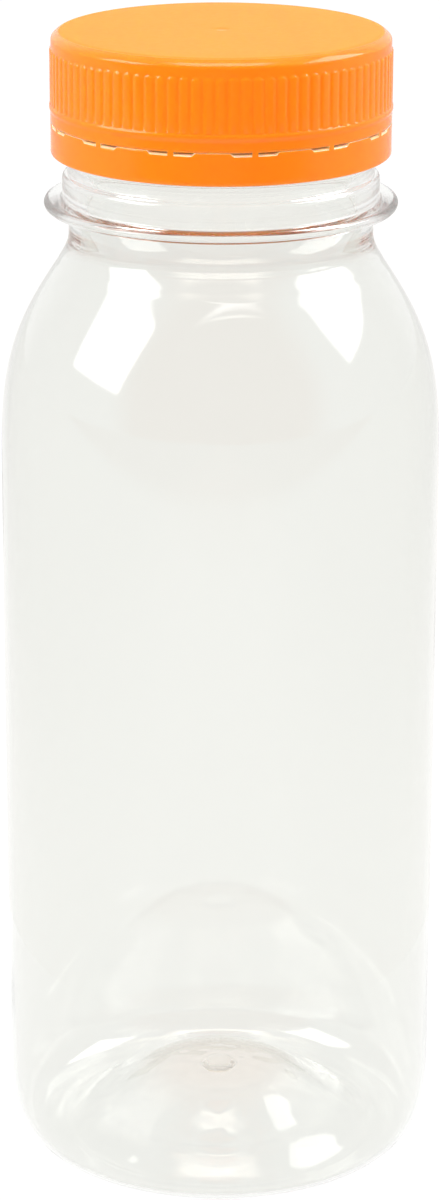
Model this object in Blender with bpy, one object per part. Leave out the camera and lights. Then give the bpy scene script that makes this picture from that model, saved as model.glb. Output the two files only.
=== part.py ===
"""A clear 250 ml drinks bottle, closed by its ribbed orange screw cap. Metres, +Z up.

The origin is the middle of the base, on the surface that the bottle stands on. The front, with the
tear-band bridges that lie nearest the middle, faces -Y.
"""

import math

import bmesh
import bpy
from mathutils import Vector

# Whole object
TOTAL_HEIGHT = 0.1424
BOTTLE_SIDES = 60

# Body, shoulder and heel
BODY_RADIUS = 0.02687
BODY_TOP = 0.0908
SHOULDER_TOP = 0.1145
SHOULDER_TOP_RADIUS = 0.01975
SHOULDER_SLOPE = math.radians(33.5)
SHOULDER_UPPER_PULL = 0.0084
SHOULDER_LOWER_PULL = 0.0124
HEEL_HEIGHT = 0.0116
HEEL_LOWER_PULL = 0.0023
HEEL_UPPER_PULL = 0.0105

# Base: a flat standing ring round a stepped push-up
STANDING_RADIUS = 0.0219
STANDING_INNER_RADIUS = 0.0201
STEP_FOOT_RADIUS = 0.0128
STEP_FOOT_HEIGHT = 0.0026
STEP_HEAD_RADIUS = 0.0093
STEP_HEAD_HEIGHT = 0.0052
CROWN_HEIGHT = 0.0068
CROWN_FLAT_RADIUS = 0.0042
CROWN_PULL = (-0.0013, 0.0005)
STEP_HEAD_PULL = (0.0009, -0.0012)
STEP_FOOT_PULL = (-0.0016, 0.0003)
RISE_FOOT_PULL = (0.0024, -0.0005)
RISE_RING_PULL = (-0.0012, 0.0008)
GATE_RADIUS = 0.0017
GATE_TIP_RADIUS = 0.0014
GATE_LENGTH = 0.0006

# Wall of the blown part
BODY_WALL = 0.00045
BASE_MIDDLE_WALL = 0.0015
BASE_THICKENING = 1.8
THIN_WALL_TOP = 0.1090
NECK_WALL_POWER = 1.6

# Neck
NECK_RADIUS = 0.01838
NECK_ROOT_TOP = 0.1180
NECK_ROOT_RADIUS = 0.01953
NECK_ROOT_HEIGHT = 0.11492
NECK_ROOT_PULL = (-0.00062, 0.0010)
NECK_ROOT_TOP_PULL = 0.0011
BORE_RADIUS = 0.0164
RING_RADIUS = 0.0213
RING_MIDDLE = 0.1217
RING_THICKNESS = 0.0013
RING_ROOT_BLEND = 0.00025
LAND_RADIUS = 0.0191
LAND_TOP = 0.1254
COLLAR_RADIUS = 0.0183
COLLAR_FOOT = 0.1256
BEAD_RADIUS = 0.0190
BEAD_MIDDLE = 0.1304
BEAD_HALF_HEIGHT = 0.0008
FINISH_RADIUS = 0.0175
LIP_TOP = 0.1409
LIP_ROUNDING = 0.0005

# Screw thread, three starts
THREAD_STARTS = 3
THREAD_LEAD = 0.0096
THREAD_SWEEP = math.radians(126)
THREAD_DEPTH = 0.0010
THREAD_BASE_HALF = 0.0007
THREAD_CREST_HALF = 0.00035
THREAD_SINK = 0.0002
THREAD_END_FULLNESS = 0.25
THREAD_END_RISE = 3
THREAD_STEPS = 12
THREAD_TURN = math.radians(37)
NECK_THREAD_START = 0.1337

# Cap
CAP_RADIUS = 0.0205
CAP_SMOOTH_RADIUS = 0.02042
CAP_BOTTOM = 0.1277
CAP_SIDES = 60
CAP_MIDDLE_SIDES = 12
CAP_EDGE_INWARD = 0.0020
CAP_EDGE_DOWN = 0.0026
CAP_EDGE_START = 12
CAP_TOP_WALL = 0.0012
CAP_INNER_RADIUS = 0.01885
CEILING_CORNER = 0.0004
CEILING_MIDDLE_RADIUS = 0.0063
RIB_COUNT = 90
RIB_DEPTH = 0.00022
RIB_BOTTOM = 0.1339
RIB_TOP = 0.1403
RIB_FADE = 0.0006
COLLAR_RIDGE_TOP = 0.1337
COLLAR_RIDGE_BOTTOM = 0.1330
COLLAR_RIDGE_PROUD = 0.00012
COLLAR_RIDGE_CHAMFER = 0.0002
SLIT_TOP = 0.13165
SLIT_BOTTOM = 0.13130
SLIT_STEPS = 4
SLIT_CUTTER_REACH = 0.002
BRIDGE_COUNT = 13
BRIDGE_ANGLE = math.radians(2.6)
FIRST_BRIDGE = math.radians(-16.6)
BAND_INNER_RADIUS = 0.01935
BAND_LIP_RADIUS = 0.01880
BAND_LIP_TOP = 0.1291
BAND_LIP_BOTTOM = 0.1282
BAND_LIP_CHAMFER = 0.0002
BAND_STEP_BOTTOM = 0.1312
BAND_STEP_TOP = 0.13225
BAND_CHAMFER = 0.0003
GATE_MARK_RADIUS = 0.0011
GATE_MARK_FLOOR_RADIUS = 0.00066
GATE_MARK_DEPTH = 0.00018

MERGE_DISTANCE = 1e-7
SMOOTH_ANGLE = math.radians(32)


def clear_scene():
    """Removes every object, so that the script can be run again."""
    for thing in list(bpy.data.objects):
        bpy.data.objects.remove(thing, do_unlink=True)


def material(name, colour, roughness, transmission=0.0, alpha=1.0):
    """A Principled material for one sub-part."""
    made = bpy.data.materials.new(name)
    made.use_nodes = True
    shader = made.node_tree.nodes["Principled BSDF"]
    shader.inputs["Base Color"].default_value = (*colour, 1.0)
    shader.inputs["Roughness"].default_value = roughness
    shader.inputs["Metallic"].default_value = 0.0
    shader.inputs["Transmission Weight"].default_value = transmission
    shader.inputs["Alpha"].default_value = alpha
    return made


def arc(centre, size, start, end, steps):
    """Points (radius, height) on an elliptic arc, with its angles in degrees from straight outward."""
    points = []
    for step in range(steps + 1):
        angle = math.radians(start + (end - start) * step / steps)
        points.append((centre[0] + size[0] * math.cos(angle), centre[1] + size[1] * math.sin(angle)))
    return points


def bezier(first, first_pull, last_pull, last, steps):
    """Points (radius, height) on a cubic curve between two points and their two handles."""
    points = []
    for step in range(steps + 1):
        t = step / steps
        u = 1 - t
        weights = (u * u * u, 3 * u * u * t, 3 * u * t * t, t * t * t)
        corners = (first, first_pull, last_pull, last)
        points.append(tuple(sum(w * c[k] for w, c in zip(weights, corners)) for k in (0, 1)))
    return points


def moved(point, shift):
    """A point (radius, height) moved by a shift."""
    return (point[0] + shift[0], point[1] + shift[1])


def push_up(steps):
    """The underside of the base, from the gate's foot out to the standing ring."""
    head = (STEP_HEAD_RADIUS, STEP_HEAD_HEIGHT)
    foot = (STEP_FOOT_RADIUS, STEP_FOOT_HEIGHT)
    ring = (STANDING_INNER_RADIUS, 0.0)
    middle = (GATE_RADIUS, CROWN_HEIGHT)
    crown = bezier(middle, (CROWN_FLAT_RADIUS, CROWN_HEIGHT), moved(head, CROWN_PULL), head, steps)
    flank = bezier(head, moved(head, STEP_HEAD_PULL), moved(foot, STEP_FOOT_PULL), foot, steps)
    rise = bezier(foot, moved(foot, RISE_FOOT_PULL), moved(ring, RISE_RING_PULL), ring, steps)
    return crown + flank[1:] + rise[1:]


def heel(steps):
    """The rounded heel, from the standing ring up to the straight body."""
    return bezier(
        (STANDING_RADIUS, 0.0),
        (STANDING_RADIUS + HEEL_LOWER_PULL, 0.0),
        (BODY_RADIUS, HEEL_HEIGHT - HEEL_UPPER_PULL),
        (BODY_RADIUS, HEEL_HEIGHT),
        steps,
    )


def shoulder(steps):
    """The domed shoulder, from the straight body up to the crease under the neck."""
    pull_out = SHOULDER_UPPER_PULL * math.sin(SHOULDER_SLOPE)
    pull_down = SHOULDER_UPPER_PULL * math.cos(SHOULDER_SLOPE)
    return bezier(
        (BODY_RADIUS, BODY_TOP),
        (BODY_RADIUS, BODY_TOP + SHOULDER_LOWER_PULL),
        (SHOULDER_TOP_RADIUS + pull_out, SHOULDER_TOP - pull_down),
        (SHOULDER_TOP_RADIUS, SHOULDER_TOP),
        steps,
    )


def neck_root(steps):
    """The concave flare that leads from the shoulder into the neck, after a faint crease."""
    crease = (NECK_ROOT_RADIUS, NECK_ROOT_HEIGHT)
    top = (NECK_RADIUS, NECK_ROOT_TOP)
    return bezier(crease, moved(crease, NECK_ROOT_PULL), moved(top, (0.0, -NECK_ROOT_TOP_PULL)), top, steps)


def blown_profile(steps):
    """The outside of everything below the neck, from the gate's foot to the foot of the neck."""
    return push_up(steps) + heel(steps + 2) + shoulder(2 * steps) + neck_root(steps)


def support_ring():
    """The flange that the filling line holds the neck by, with its rounded rim."""
    half = RING_THICKNESS / 2
    rim_centre = RING_RADIUS - half
    blend = RING_ROOT_BLEND
    below = arc((NECK_RADIUS + blend, RING_MIDDLE - half - blend), (blend, blend), 180, 90, 1)
    rim = arc((rim_centre, RING_MIDDLE), (half, half), -90, 90, 4)
    above = arc((LAND_RADIUS + blend, RING_MIDDLE + half + blend), (blend, blend), 270, 180, 1)
    return below + rim + above


def finish():
    """The neck above the flange: land, tear-band bead, thread wall and rounded lip."""
    step = LAND_RADIUS - COLLAR_RADIUS
    land = arc((COLLAR_RADIUS, LAND_TOP - step), (step, step), 0, 60, 1)
    bead_size = (BEAD_RADIUS - COLLAR_RADIUS, BEAD_HALF_HEIGHT)
    bead = arc((COLLAR_RADIUS, BEAD_MIDDLE), bead_size, -90, 60, 3)
    wall_foot = [(FINISH_RADIUS, BEAD_MIDDLE + BEAD_HALF_HEIGHT)]
    lip_size = (LIP_ROUNDING, LIP_ROUNDING)
    outer_lip = arc((FINISH_RADIUS - LIP_ROUNDING, LIP_TOP - LIP_ROUNDING), lip_size, 0, 90, 1)
    inner_lip = arc((BORE_RADIUS + LIP_ROUNDING, LIP_TOP - LIP_ROUNDING), lip_size, 90, 180, 1)
    return land + [(COLLAR_RADIUS, COLLAR_FOOT)] + bead + wall_foot + outer_lip + inner_lip


def wall_thickness(radius, height):
    """The wall at a point of the outside: thick in the middle of the base and up in the neck."""
    if height < HEEL_HEIGHT:
        inward = max(0.0, 1 - radius / STANDING_INNER_RADIUS)
        return BODY_WALL + (BASE_MIDDLE_WALL - BODY_WALL) * min(1.0, BASE_THICKENING * inward)
    upward = min(1.0, max(0.0, (height - THIN_WALL_TOP) / (NECK_ROOT_TOP - THIN_WALL_TOP)))
    return BODY_WALL + (NECK_RADIUS - BORE_RADIUS - BODY_WALL) * upward ** NECK_WALL_POWER


def inside_of(profile):
    """The inner surface of a blown profile, set in by the wall along each point's normal."""
    points = [Vector(point) for point in profile]
    inner = []
    for i, point in enumerate(points):
        before = points[max(i - 1, 0)]
        after = points[min(i + 1, len(points) - 1)]
        along = (after - before).normalized()
        inward = Vector((-along.y, along.x))
        inner.append(tuple(point + inward * wall_thickness(*point)))
    inner[0] = (inner[0][0], CROWN_HEIGHT + BASE_MIDDLE_WALL)
    inner[-1] = (BORE_RADIUS, NECK_ROOT_TOP)
    return inner


def bottle_profile():
    """The closed half section of the bottle, from the axis below the base round to the axis inside it."""
    gate_low = CROWN_HEIGHT - GATE_LENGTH
    gate = [(0.0, gate_low), (GATE_TIP_RADIUS, gate_low)]
    outside = gate + blown_profile(3) + support_ring() + finish()
    inside = inside_of(blown_profile(2))
    return outside + list(reversed(inside)) + [(0.0, CROWN_HEIGHT + BASE_MIDDLE_WALL)]


def turned(name, profile, sides):
    """A solid turned about Z from a half section that starts and ends on the axis."""
    mesh = bpy.data.meshes.new(name)
    form = bmesh.new()
    row = [form.verts.new((radius, 0.0, height)) for radius, height in profile]
    edges = [form.edges.new(pair) for pair in zip(row, row[1:])]
    bmesh.ops.spin(form, geom=row + edges, cent=(0, 0, 0), axis=(0, 0, 1), angle=math.tau, steps=sides)
    bmesh.ops.remove_doubles(form, verts=form.verts, dist=MERGE_DISTANCE)
    bmesh.ops.recalc_face_normals(form, faces=form.faces)
    form.to_mesh(mesh)
    form.free()
    return placed(name, mesh)


def placed(name, mesh):
    """A new object that holds the mesh."""
    made = bpy.data.objects.new(name, mesh)
    bpy.context.scene.collection.objects.link(made)
    return made


def guide(made):
    """Marks an object as a cutter or an operand that is no part of the model."""
    made.hide_render = True
    made.display_type = "WIRE"
    return made


def thread_ridges(name, wall_radius, outward, start_height):
    """The ridges of the thread, one for each start, thinning out to nothing at both ends."""
    form = bmesh.new()
    side = 1 if outward else -1
    for start in range(THREAD_STARTS):
        first = THREAD_TURN + math.tau * start / THREAD_STARTS
        rows = []
        for step in range(THREAD_STEPS + 1):
            share = step / THREAD_STEPS
            fullness = min(1.0, THREAD_END_FULLNESS + THREAD_END_RISE * min(share, 1 - share))
            angle = first + THREAD_SWEEP * share
            height = start_height + THREAD_LEAD * THREAD_SWEEP * share / math.tau
            root = wall_radius - side * THREAD_SINK
            crest = wall_radius + side * THREAD_DEPTH * fullness
            section = (
                (root, -THREAD_BASE_HALF),
                (crest, -THREAD_CREST_HALF * fullness),
                (crest, THREAD_CREST_HALF * fullness),
                (root, THREAD_BASE_HALF),
            )
            rows.append([
                form.verts.new((radius * math.cos(angle), radius * math.sin(angle), height + lift))
                for radius, lift in section
            ])
        for row, after in zip(rows, rows[1:]):
            for k in range(4):
                form.faces.new((row[k], row[(k + 1) % 4], after[(k + 1) % 4], after[k]))
        form.faces.new(rows[0])
        form.faces.new(reversed(rows[-1]))
    bmesh.ops.recalc_face_normals(form, faces=form.faces)
    mesh = bpy.data.meshes.new(name)
    form.to_mesh(mesh)
    form.free()
    return guide(placed(name, mesh))


def combine(target, other, operation):
    """Adds a Boolean of another object to the target."""
    change = target.modifiers.new(other.name, "BOOLEAN")
    change.operation = operation
    change.object = other
    change.solver = "EXACT"


def cap_ring(form, radius, height, count, ribbed=False):
    """One horizontal ring of the cap's surface. A ribbed ring has a crest on every second vertex."""
    ring = []
    for i in range(count):
        angle = math.tau * i / count
        reach = radius - (RIB_DEPTH if ribbed and i % 2 else 0.0)
        ring.append(form.verts.new((reach * math.cos(angle), reach * math.sin(angle), height)))
    return ring


def join_rings(form, lower, upper):
    """Faces between two rings, one of which may have several times as many vertices as the other."""
    if len(lower) == len(upper):
        count = len(lower)
        for i in range(count):
            j = (i + 1) % count
            form.faces.new((lower[i], lower[j], upper[j], upper[i]))
        return
    coarse, fine = (lower, upper) if len(lower) < len(upper) else (upper, lower)
    ratio = len(fine) // len(coarse)
    middle = (ratio + 1) // 2
    for i, corner in enumerate(coarse):
        following = coarse[(i + 1) % len(coarse)]
        for k in range(ratio):
            here = fine[i * ratio + k]
            there = fine[(i * ratio + k + 1) % len(fine)]
            form.faces.new((corner if k < middle else following, here, there))
        form.faces.new((corner, following, fine[(i * ratio + middle) % len(fine)]))


def close_ring(form, ring, height):
    """A fan of faces from a ring to a point on the axis."""
    tip = form.verts.new((0, 0, height))
    for i, corner in enumerate(ring):
        form.faces.new((corner, ring[(i + 1) % len(ring)], tip))


def cap_outside(form):
    """The outer rings of the cap, bottom to top: tear band, collar ridge, ribs and rounded edge."""
    ridge_radius = CAP_SMOOTH_RADIUS + COLLAR_RIDGE_PROUD
    rings = [
        cap_ring(form, CAP_SMOOTH_RADIUS - BAND_CHAMFER, CAP_BOTTOM, CAP_SIDES),
        cap_ring(form, CAP_SMOOTH_RADIUS, CAP_BOTTOM + BAND_CHAMFER, CAP_SIDES),
        cap_ring(form, CAP_SMOOTH_RADIUS, COLLAR_RIDGE_BOTTOM, CAP_SIDES),
        cap_ring(form, ridge_radius, COLLAR_RIDGE_BOTTOM + COLLAR_RIDGE_CHAMFER, CAP_SIDES),
        cap_ring(form, ridge_radius, COLLAR_RIDGE_TOP - COLLAR_RIDGE_CHAMFER, CAP_SIDES),
        cap_ring(form, CAP_RADIUS - RIB_DEPTH, COLLAR_RIDGE_TOP, 2 * RIB_COUNT),
        cap_ring(form, CAP_RADIUS, RIB_BOTTOM + RIB_FADE, 2 * RIB_COUNT, ribbed=True),
        cap_ring(form, CAP_RADIUS, RIB_TOP - RIB_FADE, 2 * RIB_COUNT, ribbed=True),
    ]
    edge_centre = (CAP_RADIUS - CAP_EDGE_INWARD, TOTAL_HEIGHT - CAP_EDGE_DOWN)
    for radius, height in arc(edge_centre, (CAP_EDGE_INWARD, CAP_EDGE_DOWN), CAP_EDGE_START, 90, 5):
        rings.append(cap_ring(form, radius, height, CAP_SIDES))
    mark_height = TOTAL_HEIGHT - GATE_MARK_DEPTH
    rings.append(cap_ring(form, GATE_MARK_RADIUS, TOTAL_HEIGHT, CAP_MIDDLE_SIDES))
    rings.append(cap_ring(form, GATE_MARK_FLOOR_RADIUS, mark_height, CAP_MIDDLE_SIDES))
    for lower, upper in zip(rings, rings[1:]):
        join_rings(form, lower, upper)
    close_ring(form, rings[-1], mark_height)
    return rings[0]


def cap_inside(form):
    """The inner rings of the cap, bottom to top: band lip, band, thread wall and ceiling."""
    ceiling = TOTAL_HEIGHT - CAP_TOP_WALL
    rings = [
        cap_ring(form, BAND_INNER_RADIUS, CAP_BOTTOM, CAP_SIDES),
        cap_ring(form, BAND_LIP_RADIUS, BAND_LIP_BOTTOM, CAP_SIDES),
        cap_ring(form, BAND_LIP_RADIUS, BAND_LIP_TOP, CAP_SIDES),
        cap_ring(form, BAND_INNER_RADIUS, BAND_LIP_TOP + BAND_LIP_CHAMFER, CAP_SIDES),
        cap_ring(form, BAND_INNER_RADIUS, BAND_STEP_BOTTOM, CAP_SIDES),
        cap_ring(form, CAP_INNER_RADIUS, BAND_STEP_TOP, CAP_SIDES),
        cap_ring(form, CAP_INNER_RADIUS, ceiling - CEILING_CORNER, CAP_SIDES),
        cap_ring(form, CAP_INNER_RADIUS - CEILING_CORNER, ceiling, CAP_SIDES),
        cap_ring(form, CEILING_MIDDLE_RADIUS, ceiling, CAP_MIDDLE_SIDES),
    ]
    for lower, upper in zip(rings, rings[1:]):
        join_rings(form, lower, upper)
    close_ring(form, rings[-1], ceiling)
    return rings[0]


def slit_cutters():
    """The arcs cut out between the bridges, which leave the tear band hanging on the bridges alone."""
    form = bmesh.new()
    spacing = math.tau / BRIDGE_COUNT
    near, far = CAP_INNER_RADIUS - SLIT_CUTTER_REACH, CAP_RADIUS + SLIT_CUTTER_REACH
    for bridge in range(BRIDGE_COUNT):
        start = FIRST_BRIDGE - math.pi / 2 + spacing * bridge + BRIDGE_ANGLE / 2
        sweep = spacing - BRIDGE_ANGLE
        rows = []
        for step in range(SLIT_STEPS + 1):
            angle = start + sweep * step / SLIT_STEPS
            section = ((near, SLIT_BOTTOM), (far, SLIT_BOTTOM), (far, SLIT_TOP), (near, SLIT_TOP))
            rows.append([
                form.verts.new((radius * math.cos(angle), radius * math.sin(angle), height))
                for radius, height in section
            ])
        for row, after in zip(rows, rows[1:]):
            for k in range(4):
                form.faces.new((row[k], row[(k + 1) % 4], after[(k + 1) % 4], after[k]))
        form.faces.new(rows[0])
        form.faces.new(reversed(rows[-1]))
    bmesh.ops.recalc_face_normals(form, faces=form.faces)
    mesh = bpy.data.meshes.new("slit_cutters")
    form.to_mesh(mesh)
    form.free()
    return guide(placed("slit_cutters", mesh))


def cap_solid():
    """The cap's closed mesh before its thread and slit."""
    form = bmesh.new()
    outer = cap_outside(form)
    inner = cap_inside(form)
    join_rings(form, inner, outer)
    bmesh.ops.recalc_face_normals(form, faces=form.faces)
    mesh = bpy.data.meshes.new("cap")
    form.to_mesh(mesh)
    form.free()
    return placed("cap", mesh)


def finished(made, surface):
    """Gives an object its material and smooth shading with sharp edges kept."""
    made.data.materials.append(surface)
    made.data.shade_smooth()
    made.data.set_sharp_from_angle(angle=SMOOTH_ANGLE)


def build_bottle():
    """The bottle: one blown piece with its moulded neck and thread."""
    bottle = turned("bottle", bottle_profile(), BOTTLE_SIDES)
    ridges = thread_ridges("neck_thread", FINISH_RADIUS, True, NECK_THREAD_START)
    combine(bottle, ridges, "UNION")
    finished(bottle, material("clear_pet", (0.93, 0.94, 0.92), 0.04, transmission=1.0, alpha=0.35))


def build_cap():
    """The cap: one moulded piece, with its thread midway between the neck's ridges."""
    cap = cap_solid()
    half_spacing = THREAD_LEAD / THREAD_STARTS / 2
    ridges = thread_ridges("cap_thread", CAP_INNER_RADIUS, False, NECK_THREAD_START + half_spacing)
    combine(cap, ridges, "UNION")
    combine(cap, slit_cutters(), "DIFFERENCE")
    finished(cap, material("orange_plastic", (0.95, 0.26, 0.02), 0.32))


def main():
    """Builds the two pieces."""
    clear_scene()
    build_bottle()
    build_cap()


main()
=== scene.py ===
"""Looks for a clear drinks bottle closed by its ribbed orange screw cap."""

import math

import bpy
import numpy as np
from mathutils import Matrix, Vector, noise


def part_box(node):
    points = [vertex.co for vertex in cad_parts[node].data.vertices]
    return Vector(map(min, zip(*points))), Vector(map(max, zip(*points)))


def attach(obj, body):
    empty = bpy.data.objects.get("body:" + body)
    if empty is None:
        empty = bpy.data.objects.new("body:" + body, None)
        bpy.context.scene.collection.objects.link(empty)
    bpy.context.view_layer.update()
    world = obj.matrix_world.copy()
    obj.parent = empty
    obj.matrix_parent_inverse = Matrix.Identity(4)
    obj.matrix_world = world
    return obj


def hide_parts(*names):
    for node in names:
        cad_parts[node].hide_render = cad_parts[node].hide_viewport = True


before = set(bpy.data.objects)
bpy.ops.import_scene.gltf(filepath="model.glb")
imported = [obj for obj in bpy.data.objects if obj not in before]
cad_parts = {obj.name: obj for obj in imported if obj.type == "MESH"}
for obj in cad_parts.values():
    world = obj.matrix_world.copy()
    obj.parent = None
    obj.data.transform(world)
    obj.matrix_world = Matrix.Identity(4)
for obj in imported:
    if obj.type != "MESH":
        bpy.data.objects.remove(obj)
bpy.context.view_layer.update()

MM = 0.001

# Sizes read from the frame, in millimetres
BOTTLE_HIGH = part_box("bottle")[1] / MM
CAP_LOW, CAP_HIGH = (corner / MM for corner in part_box("cap"))
BODY_RADIUS = BOTTLE_HIGH.x
LIP_TOP = BOTTLE_HIGH.z
CAP_BOTTOM = CAP_LOW.z
CAP_TOP = CAP_HIGH.z
COLLAR_PROUD = 0.12
CAP_SMOOTH_RADIUS = CAP_HIGH.x - COLLAR_PROUD

# Turned form of the bottle, in millimetres
BOTTLE_COLUMNS = 240
BODY_TOP = 90.8
SHOULDER_TOP, SHOULDER_TOP_RADIUS = 114.5, 19.75
SHOULDER_SLOPE = math.radians(33.5)
SHOULDER_UPPER_PULL, SHOULDER_LOWER_PULL = 8.4, 12.4
HEEL_HEIGHT, HEEL_LOWER_PULL, HEEL_UPPER_PULL = 11.6, 2.3, 10.5
STANDING_RADIUS, STANDING_INNER_RADIUS = 21.9, 20.1
STEP_HEAD_RADIUS, STEP_FOOT_RADIUS, STEP_DROP = 7.0, 15.0, 1.9
CROWN_HEIGHT, CROWN_FALL = 6.8, 0.465
APRON_DROP, APRON_FOOT_RADIUS, FOOT_TURN, FOOT_LIFT = 1.9, 22.1, 1.6, 0.12
GATE_RADIUS, GATE_LENGTH, GATE_EDGE = 1.9, 0.6, 0.1
BODY_WALL, BASE_MIDDLE_WALL, BASE_WALL_RISE = 0.45, 1.5, 1.8
THIN_WALL_TOP, BORE_FOOT, BORE_PULL = 112.5, 121.5, 0.4
WAVE_PITCH, OUTER_WAVES, INNER_WAVES = 11.0, 0.010, 0.012
WAVE_FLATTENING, SMALL_WAVE_SHARE, SMALL_WAVE_RATIO = 0.5, 0.4, 2.7
BASE_WAVE_PITCH, OUTER_BASE_WAVES, INNER_BASE_WAVES = 6.0, 0.04, 0.12
OUTER_SEED, INNER_SEED, OUTER_BASE_SEED, INNER_BASE_SEED = 7.0, 40.0, 20.0, 70.0
HEEL_EASE, NECK_EASE = 6.0, 4.0
CALM_START, CALM_SPAN = 0.8 * STANDING_INNER_RADIUS, 0.2 * STANDING_INNER_RADIUS
NECK_RADIUS, NECK_ROOT_TOP = 18.38, 118.0
CREASE_INWARD, CREASE_RISE = 0.22, 0.42
ROOT_FOOT_PULL, ROOT_TOP_PULL = (-0.62, 1.0), 1.1
BORE_RADIUS = 16.4
RING_RADIUS, RING_MIDDLE, RING_THICKNESS, RING_BLEND = 21.3, 121.7, 1.3, 0.25
LAND_RADIUS, LAND_TOP = 19.1, 125.4
COLLAR_RADIUS, COLLAR_FOOT = 18.3, 125.6
BEAD_RADIUS, BEAD_MIDDLE, BEAD_HALF_HEIGHT = 19.0, 130.4, 0.8
FINISH_RADIUS, LIP_ROUNDING = 17.5, 0.5

# Screw thread
THREAD_STARTS, THREAD_LEAD, THREAD_SWEEP = 3, 9.6, math.radians(126)
THREAD_DEPTH, THREAD_BASE_HALF, THREAD_CREST_HALF = 1.0, 0.7, 0.35
THREAD_END_FULLNESS, THREAD_END_RISE = 0.2, 4
THREAD_TURN = math.radians(37)
NECK_THREAD_START = 133.7

# Cap
RIB_COUNT, COLUMNS_PER_RIB = 90, 10
RIB_PROUD, RIB_WIDTH, RIB_SQUARENESS = 0.15, 0.92, 3.2
RIB_ARCH, RIB_ENDING = 0.45, 0.28
RIB_BOTTOM, RIB_TOP, COLUMN_STEP = 133.9, 140.4, 0.1
CAP_INNER_RADIUS, CAP_TOP_WALL, UPPER_SETBACK = 18.85, 1.2, 0.12
CAP_UPPER_RADIUS = CAP_SMOOTH_RADIUS - UPPER_SETBACK
MARK_RADIUS, MARK_DEPTH = 1.6, 0.16
MARK_STEPS = ((0.0, 1.0), (0.3, 0.94), (0.55, 0.3), (0.72, 0.03), (1.0, 0.0))
DISC_RADIUS, RIM_BEND, RIM_END = 18.65, 1.9, 36
RIM_FOOT_PULL, RIB_HEAD_PULL = 0.15, 0.8
COLLAR_TOP, COLLAR_BOTTOM, COLLAR_EASE = 133.7, 133.0, 0.16
SLIT_TOP, SLIT_BOTTOM, SLIT_CHAMFER, HAIRLINE_CHAMFER_SHARE = 131.65, 131.40, 0.22, 0.2
SLIT_STEPS, CUTTER_REACH = 60, 1
BRIDGE_COUNT, BRIDGE_ANGLE = 13, math.radians(2.0)
FIRST_BRIDGE = math.radians(-16.6)
WINDOW_ANGLE, WINDOW_CLOSING = math.radians(7.2), math.radians(0.9)
HAIRLINE, HAIRLINE_DEPTH = 0.03, 0.2
BAND_INNER_RADIUS, BAND_LIP_RADIUS = 19.35, 18.8
BAND_LIP_TOP, BAND_LIP_BOTTOM, BAND_LIP_SLOPE = 129.1, 128.2, 0.2
BAND_ROUNDING, BAND_CHAMFER, CEILING_CORNER, WALL_STEP = 0.3, 0.1, 0.4, 0.6

# Camera, fitted to the outline in the photograph, which is 440 x 1200 pixels
PHOTO_HEIGHT = 1200
FOCAL_PIXELS = 3802
CAMERA_DISTANCE = 473.5
CAMERA_PITCH = math.radians(18.45)
CAMERA_AIM_HEIGHT = 71.0
CAMERA_ROLL = math.radians(0.14)
SENSOR = 36.0

# Clear plastic. Colours are linear, noise scales are per metre, and depths are in metres
# The second colour is a painted reflection: a warm tint round the gate that stands for the orange cap's
# light seen in the base.
CLEAR_TINT, GATE_PAINTED_REFLECTION = (0.913, 0.917, 0.895, 1), (0.93, 0.878, 0.83, 1)
PAINTED_REFLECTION_REACH, PAINTED_REFLECTION_FULL = 1.8 * STEP_HEAD_RADIUS, 0.6 * STEP_HEAD_RADIUS
GATE_HAZE, GATE_HAZE_FADE, CLEAR_HAZE = 0.5, 0.6, 0.05
CLEAR_IOR = 1.575
HAZE_SCALE, CLEAR_WAVE_SCALE, CLEAR_WAVE_DEPTH, CLEAR_WAVE_STRENGTH = 60, 120, 0.00005, 0.25
SHADOW_TINT = (0.93, 0.935, 0.92, 1)

# Orange plastic
ORANGE_TINTS = ((0.985, 0.224, 0.002, 1), (1.0, 0.246, 0.004, 1))
# The inside colour is painted light, paler to stand for light coming through the wall. The cut colour is a
# painted highlight on the slit's faces.
ORANGE_INSIDE_PAINTED_LIGHT, SLIT_PAINTED_HIGHLIGHT = (1.0, 0.46, 0.12, 1), (1.0, 0.66, 0.40, 1)
MASK_MARGIN, CUT_MARGIN, LEVEL_MARGIN = 0.05, 0.015, 0.01
TINT_SCALE, SIDE_GLOSS_SCALE, DISC_GLOSS_SCALE = 140, 900, 1400
SIDE_ROUGHNESS, DISC_ROUGHNESS = (0.07, 0.12), (0.5, 0.6)
DISC_FADE_START, DISC_FADE_END = 0.25, 0.05
ORANGE_IOR, ORANGE_SPECULAR = 1.49, 0.45
ORANGE_SCATTER, SCATTER_COLOUR, SCATTER_DEPTH = 0.62, (1.0, 0.46, 0.08), 0.0022
GRAIN_SCALE, GRAIN_DEPTH, GRAIN_STRENGTH = 2600, 0.00003, 0.3

# Floor, and the sheet on it that only reflections see, in metres
FLOOR_REACH, SHEET_SIDES, FLOOR_GAP = 6.0, 64, 0.00002
FLOOR_GREY, FLOOR_GLOW = (0.05, 0.05, 0.05, 1), 0.985
CARD_REACH, CARD_OPENING, CARD_HEIGHT = 6.5, 0.08, 0.0005
CARD_FRONT_EDGE, CARD_FRONT_FADE, CARD_SIDE_EDGE, CARD_SIDE_FADE = -0.25, 0.16, 0.06, 0.2
CARD_COLOUR = (1.0, 0.99, 0.97, 1)

# Light, as radiance where white is 1
ROOM_AMBIENT, BACK_AMBIENT, SIDE_FLOOR = 0.83, 1.0, 0.70
FRONT_COLOUR = (0.58, 0.36, 0.27, 1)
OVERHEAD_COLOUR = (1.0, 0.93, 0.86)
BACK_CONE, FRONT_CONE = ((0, 1, 0.15), 0.5, 0.85), ((0, -1, 0.25), 0.45, 0.75)
SOFTBOX_AIM = Vector((0, 0, 0.09))
LEFT_ROLL, RIGHT_ROLL = -4, 9


def arc(centre, size, start, end, steps):
    """Points (radius, height) on an elliptic arc, its angles in degrees from straight outward."""
    turns = np.radians(np.linspace(start, end, steps + 1))
    return [(centre[0] + size[0] * math.cos(t), centre[1] + size[1] * math.sin(t)) for t in turns]


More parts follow.
